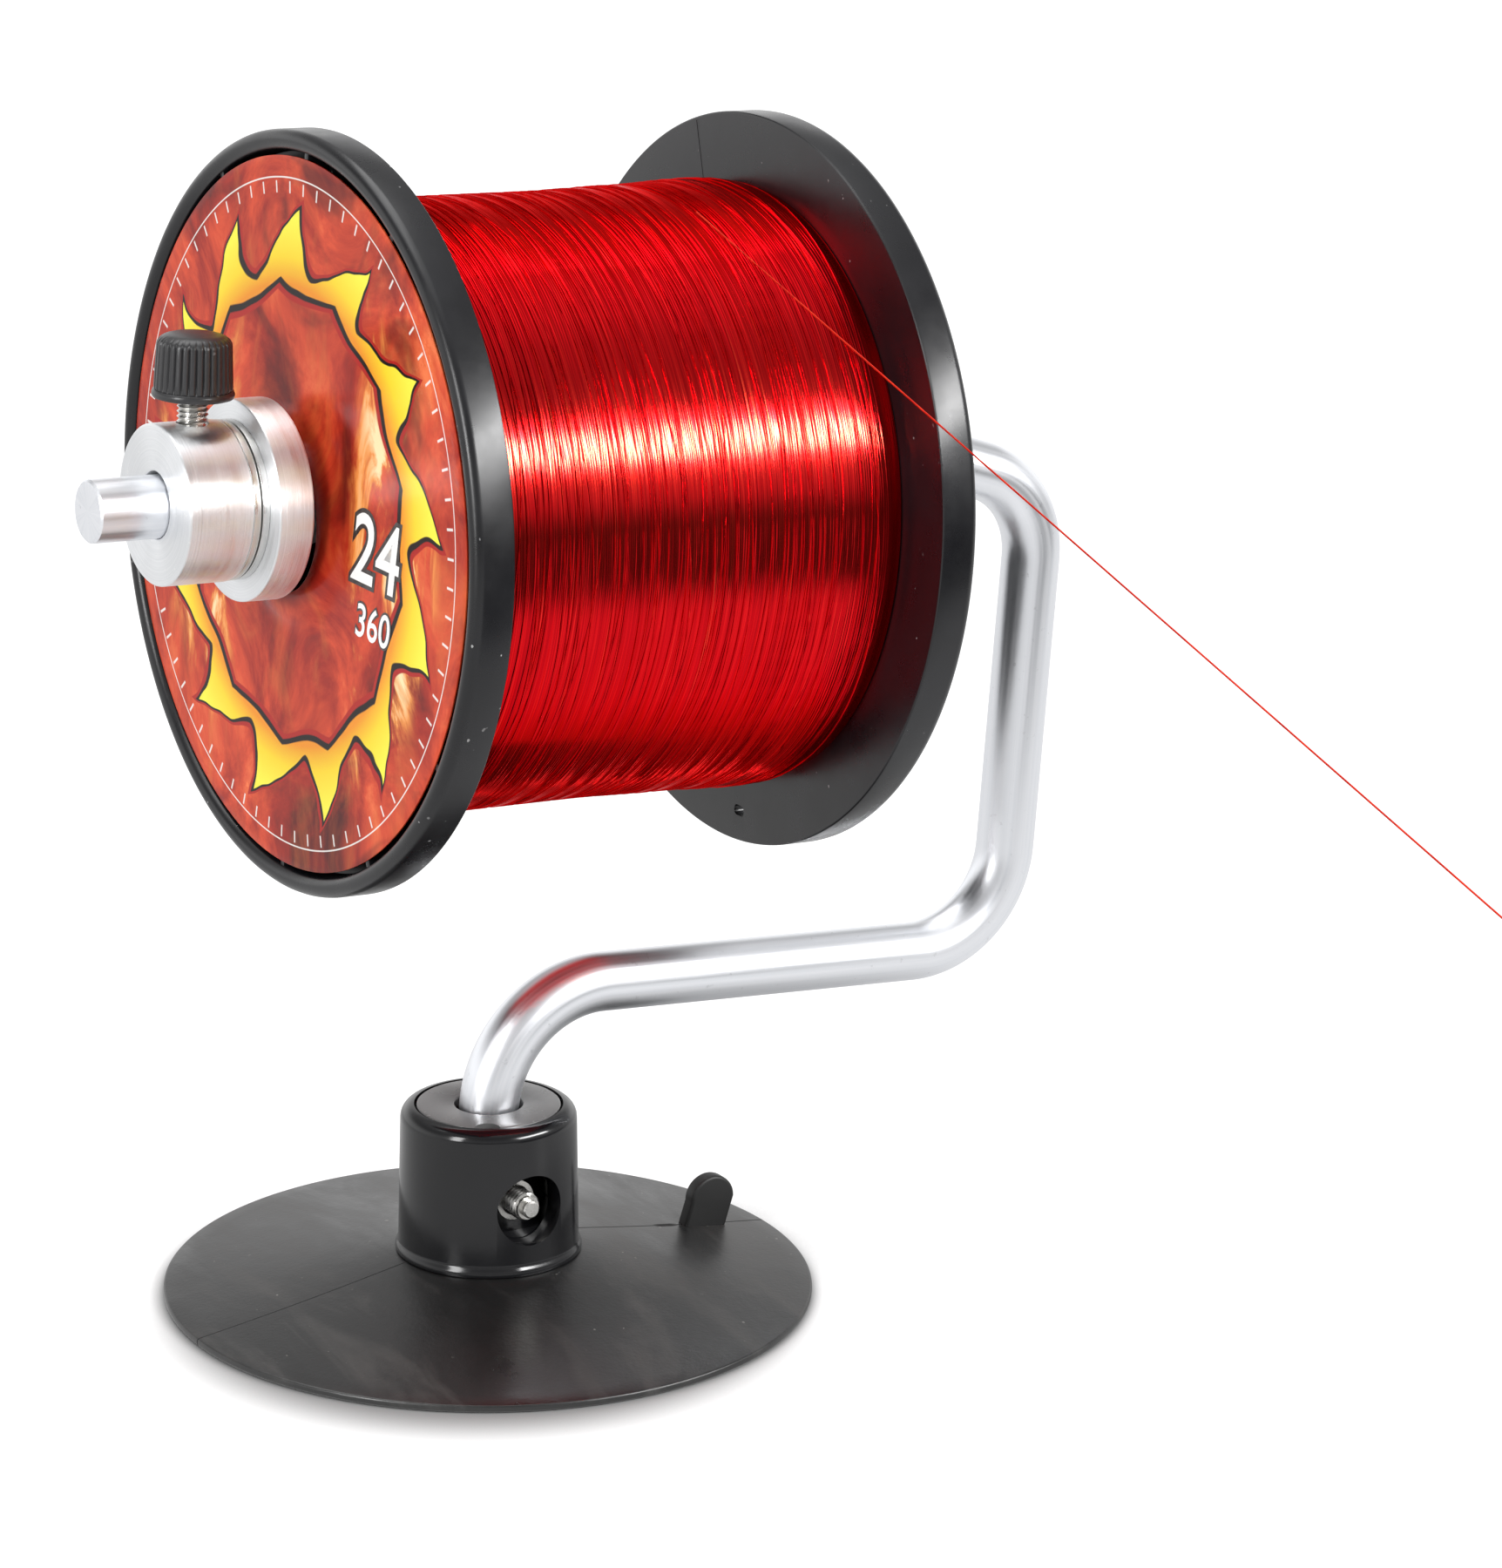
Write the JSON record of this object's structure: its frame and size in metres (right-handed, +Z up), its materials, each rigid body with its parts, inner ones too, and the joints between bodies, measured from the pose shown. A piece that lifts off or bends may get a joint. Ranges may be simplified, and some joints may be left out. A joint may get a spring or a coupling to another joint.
{
  "type": "fishing line winder",
  "caption": "Bench winder for fishing line: a spool of red line turns on the tilted axle of a bent rod that rises from a suction cup; a thumb-screw collar keeps it on.",
  "frame": {"origin": "centre of the suction disc's underside, on the surface that it stands on", "axes": "+Z up; +X towards the bow of the rod, so the axle's free end points along -X; the free line leaves towards -Y"},
  "size_m": [0.1824, 0.2962, 0.1976],
  "materials": {
    "rubber_black": "matte moulded rubber",
    "hub_black": "gloss injection-moulded plastic",
    "spool_black": "gloss injection-moulded plastic",
    "knob_black": "satin moulded plastic",
    "rod_aluminium": "bright anodised round bar",
    "turned_aluminium": "turned and clear anodised",
    "plated_steel": "zinc plated",
    "stainless_steel": "bright",
    "fibre_dark": "dark pressed felt",
    "label_print": "gloss printed film",
    "line_red": "clear red monofilament, wound",
    "line_loose": "clear red monofilament"
  },
  "bodies": {
    "stand": {"suction_disc": "rubber_black", "socket_stem": "hub_black", "hub_housing": "hub_black", "hub_cap": "hub_black", "cross_screw": "stainless_steel", "cross_screw_washer": "stainless_steel", "stem_insert": "stainless_steel", "bent_rod": "rod_aluminium", "rear_stop_collar": "turned_aluminium", "rear_set_screw": "stainless_steel", "rear_washer": "plated_steel", "free_line": "line_loose", "line_loop": "line_loose"},
    "spool": {"spool_front_half": "spool_black", "spool_rear_half": "spool_black", "line_winding": "line_red", "front_label": "label_print"},
    "collar": {"clamp_collar": "turned_aluminium", "outer_washer": "plated_steel", "friction_washer": "fibre_dark", "inner_washer": "plated_steel"},
    "front_adapter": {"front_adapter": "turned_aluminium"},
    "rear_adapter": {"rear_adapter": "turned_aluminium"},
    "thumb_stud": {"thumb_stud": "plated_steel"},
    "thumb_knob": {"thumb_knob": "knob_black"}
  },
  "joints": [
    {"name": "spool_spin", "type": "hinge", "parent": "stand", "child": "spool", "pos_m": [0.00886, 0, 0.13498], "axis": [0.9989, 0, -0.0471], "continuous": true},
    {"name": "rear_adapter_spin", "type": "hinge", "parent": "stand", "child": "rear_adapter", "pos_m": [0.06078, 0, 0.13573], "axis": [0.9989, 0, -0.0471], "continuous": true},
    {"name": "collar_slide", "type": "slide", "parent": "stand", "child": "collar", "axis": [-0.9989, 0, 0.0471], "range_m": [0, 0.026]},
    {"name": "front_adapter_spin", "type": "hinge", "parent": "collar", "child": "front_adapter", "pos_m": [-0.04275, 0, 0.14062], "axis": [0.9989, 0, -0.0471], "continuous": true},
    {"name": "thumb_lift", "type": "slide", "parent": "collar", "child": "thumb_stud", "axis": [0.0471, 0, 0.9989], "range_m": [0, 0.0032]},
    {"name": "thumb_turn", "type": "hinge", "parent": "thumb_stud", "child": "thumb_knob", "pos_m": [-0.0524, 0, 0.16109], "axis": [0.0471, 0, 0.9989], "range_deg": [-360, 1800]}
  ],
  "couplings": [
    {"joint": "rear_adapter_spin", "follows": "spool_spin", "ratio": 1.3671},
    {"joint": "front_adapter_spin", "follows": "spool_spin", "ratio": 1.3671},
    {"joint": "thumb_turn", "follows": "thumb_lift", "rad_per_m": 7854}
  ]
}
